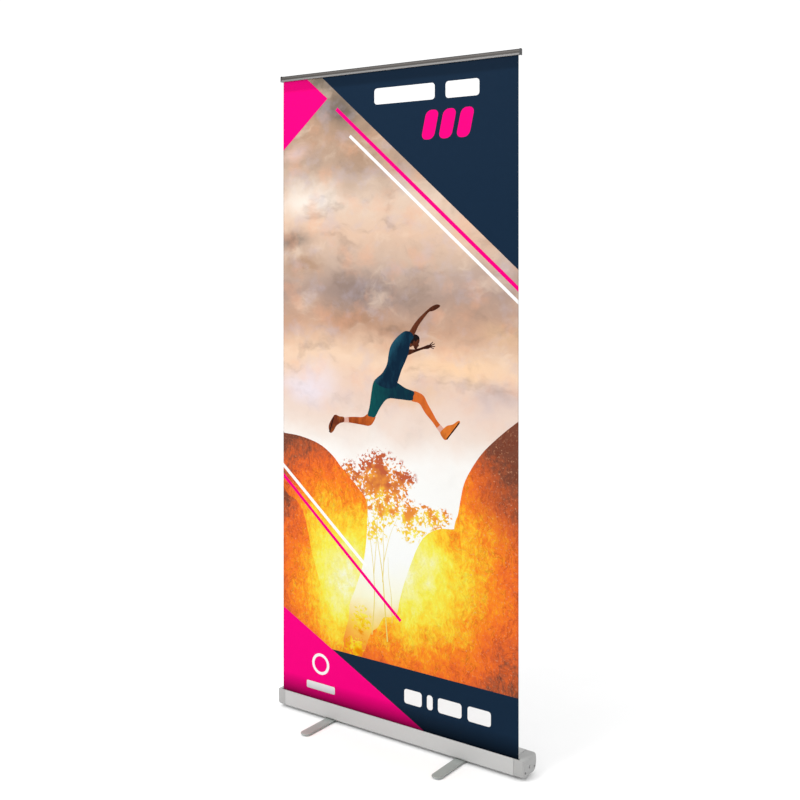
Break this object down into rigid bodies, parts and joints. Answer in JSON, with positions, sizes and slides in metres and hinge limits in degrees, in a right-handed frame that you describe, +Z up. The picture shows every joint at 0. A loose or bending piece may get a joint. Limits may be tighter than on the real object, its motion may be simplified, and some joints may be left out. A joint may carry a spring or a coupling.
{
  "type": "roll-up banner stand",
  "caption": "Free-standing retractable banner stand: floor cassette with a sprung roller, tall printed graphic, clamp rail, telescopic pole and swivel feet.",
  "frame": {"origin": "on the floor, in the middle of the stand's footprint", "axes": "+Z up along the graphic's height, +X along the cassette, and the printed face looks towards -Y"},
  "size_m": [0.89, 0.36, 2.079],
  "materials": {
    "anodised_aluminium": "satin anodised extrusion",
    "cap_plastic": "fine matte moulding",
    "foot_metal": "satin powder coat",
    "rail_metal": "taupe anodised, fine lengthwise lines",
    "black_plastic": "fine matte moulding",
    "white_nylon": "natural nylon",
    "steel": "bright zinc plated",
    "rubber": "matte",
    "pole_metal": "satin drawn tube",
    "film": "printed polyester film, satin front, pale back"
  },
  "bodies": {
    "base": {"base_housing": "anodised_aluminium", "end_cap_left": "cap_plastic", "end_cap_right": "cap_plastic", "cap_screw_left_front": "steel", "cap_screw_left_rear": "steel", "cap_screw_right_front": "steel", "cap_screw_right_rear": "steel", "axle_screw": "steel", "spring_shaft": "steel", "spring_anchor": "white_nylon", "torsion_spring": "steel", "idle_bush": "white_nylon", "pivot_rivet_left": "steel", "pivot_rivet_right": "steel", "pivot_washer_left": "white_nylon", "pivot_washer_right": "white_nylon", "pole_socket": "black_plastic", "socket_screw_left": "steel", "socket_screw_right": "steel", "pole_lower": "pole_metal", "graphic_panel": "film"},
    "roller": {"roller_tube": "anodised_aluminium", "leader_roll": "film", "idle_plug": "black_plastic", "drive_plug": "black_plastic"},
    "rail": {"top_rail": "rail_metal", "rail_cap_left": "black_plastic", "rail_cap_right": "black_plastic", "graphic_clamp_strip": "white_nylon"},
    "left_foot": {"foot_left": "foot_metal", "foot_left_pad_front": "rubber", "foot_left_pad_rear": "rubber"},
    "right_foot": {"foot_right": "foot_metal", "foot_right_pad_front": "rubber", "foot_right_pad_rear": "rubber"},
    "middle_section": {"pole_middle": "pole_metal", "middle_end_plug": "white_nylon"},
    "upper_section": {"pole_upper": "pole_metal", "upper_end_plug": "white_nylon", "pole_head": "black_plastic"},
    "lower_collar": {"lock_collar_lower": "black_plastic"},
    "upper_collar": {"lock_collar_upper": "black_plastic"}
  },
  "joints": [
    {"name": "rail_slide", "type": "slide", "parent": "base", "child": "rail", "axis": [0, 0, -1], "range_m": [0, 1.996], "deforming": ["graphic_panel"]},
    {"name": "roller_spin", "type": "hinge", "parent": "base", "child": "roller", "pos_m": [0, -0.008, 0.0345], "axis": [1, 0, 0], "range_deg": [0, 7000]},
    {"name": "left_foot_swivel", "type": "hinge", "parent": "base", "child": "left_foot", "pos_m": [-0.235, 0, 0], "axis": [0, 0, 1], "range_deg": [0, 90]},
    {"name": "right_foot_swivel", "type": "hinge", "parent": "base", "child": "right_foot", "pos_m": [0.235, 0, 0], "axis": [0, 0, -1], "range_deg": [0, 90]},
    {"name": "middle_section_slide", "type": "slide", "parent": "base", "child": "middle_section", "axis": [0, 0.0179, -0.9998], "range_m": [0, 0.6]},
    {"name": "upper_section_slide", "type": "slide", "parent": "middle_section", "child": "upper_section", "axis": [0, 0.0179, -0.9998], "range_m": [0, 0.6]},
    {"name": "lower_collar_twist", "type": "hinge", "parent": "base", "child": "lower_collar", "pos_m": [0, 0.0255, 0.0604], "axis": [0, -0.0179, 0.9998], "range_deg": [0, 90]},
    {"name": "upper_collar_twist", "type": "hinge", "parent": "middle_section", "child": "upper_collar", "pos_m": [0, 0.0255, 0.0604], "axis": [0, -0.0179, 0.9998], "range_deg": [0, 90]}
  ],
  "couplings": [
    {"joint": "roller_spin", "follows": "rail_slide", "rad_per_m": 61}
  ]
}
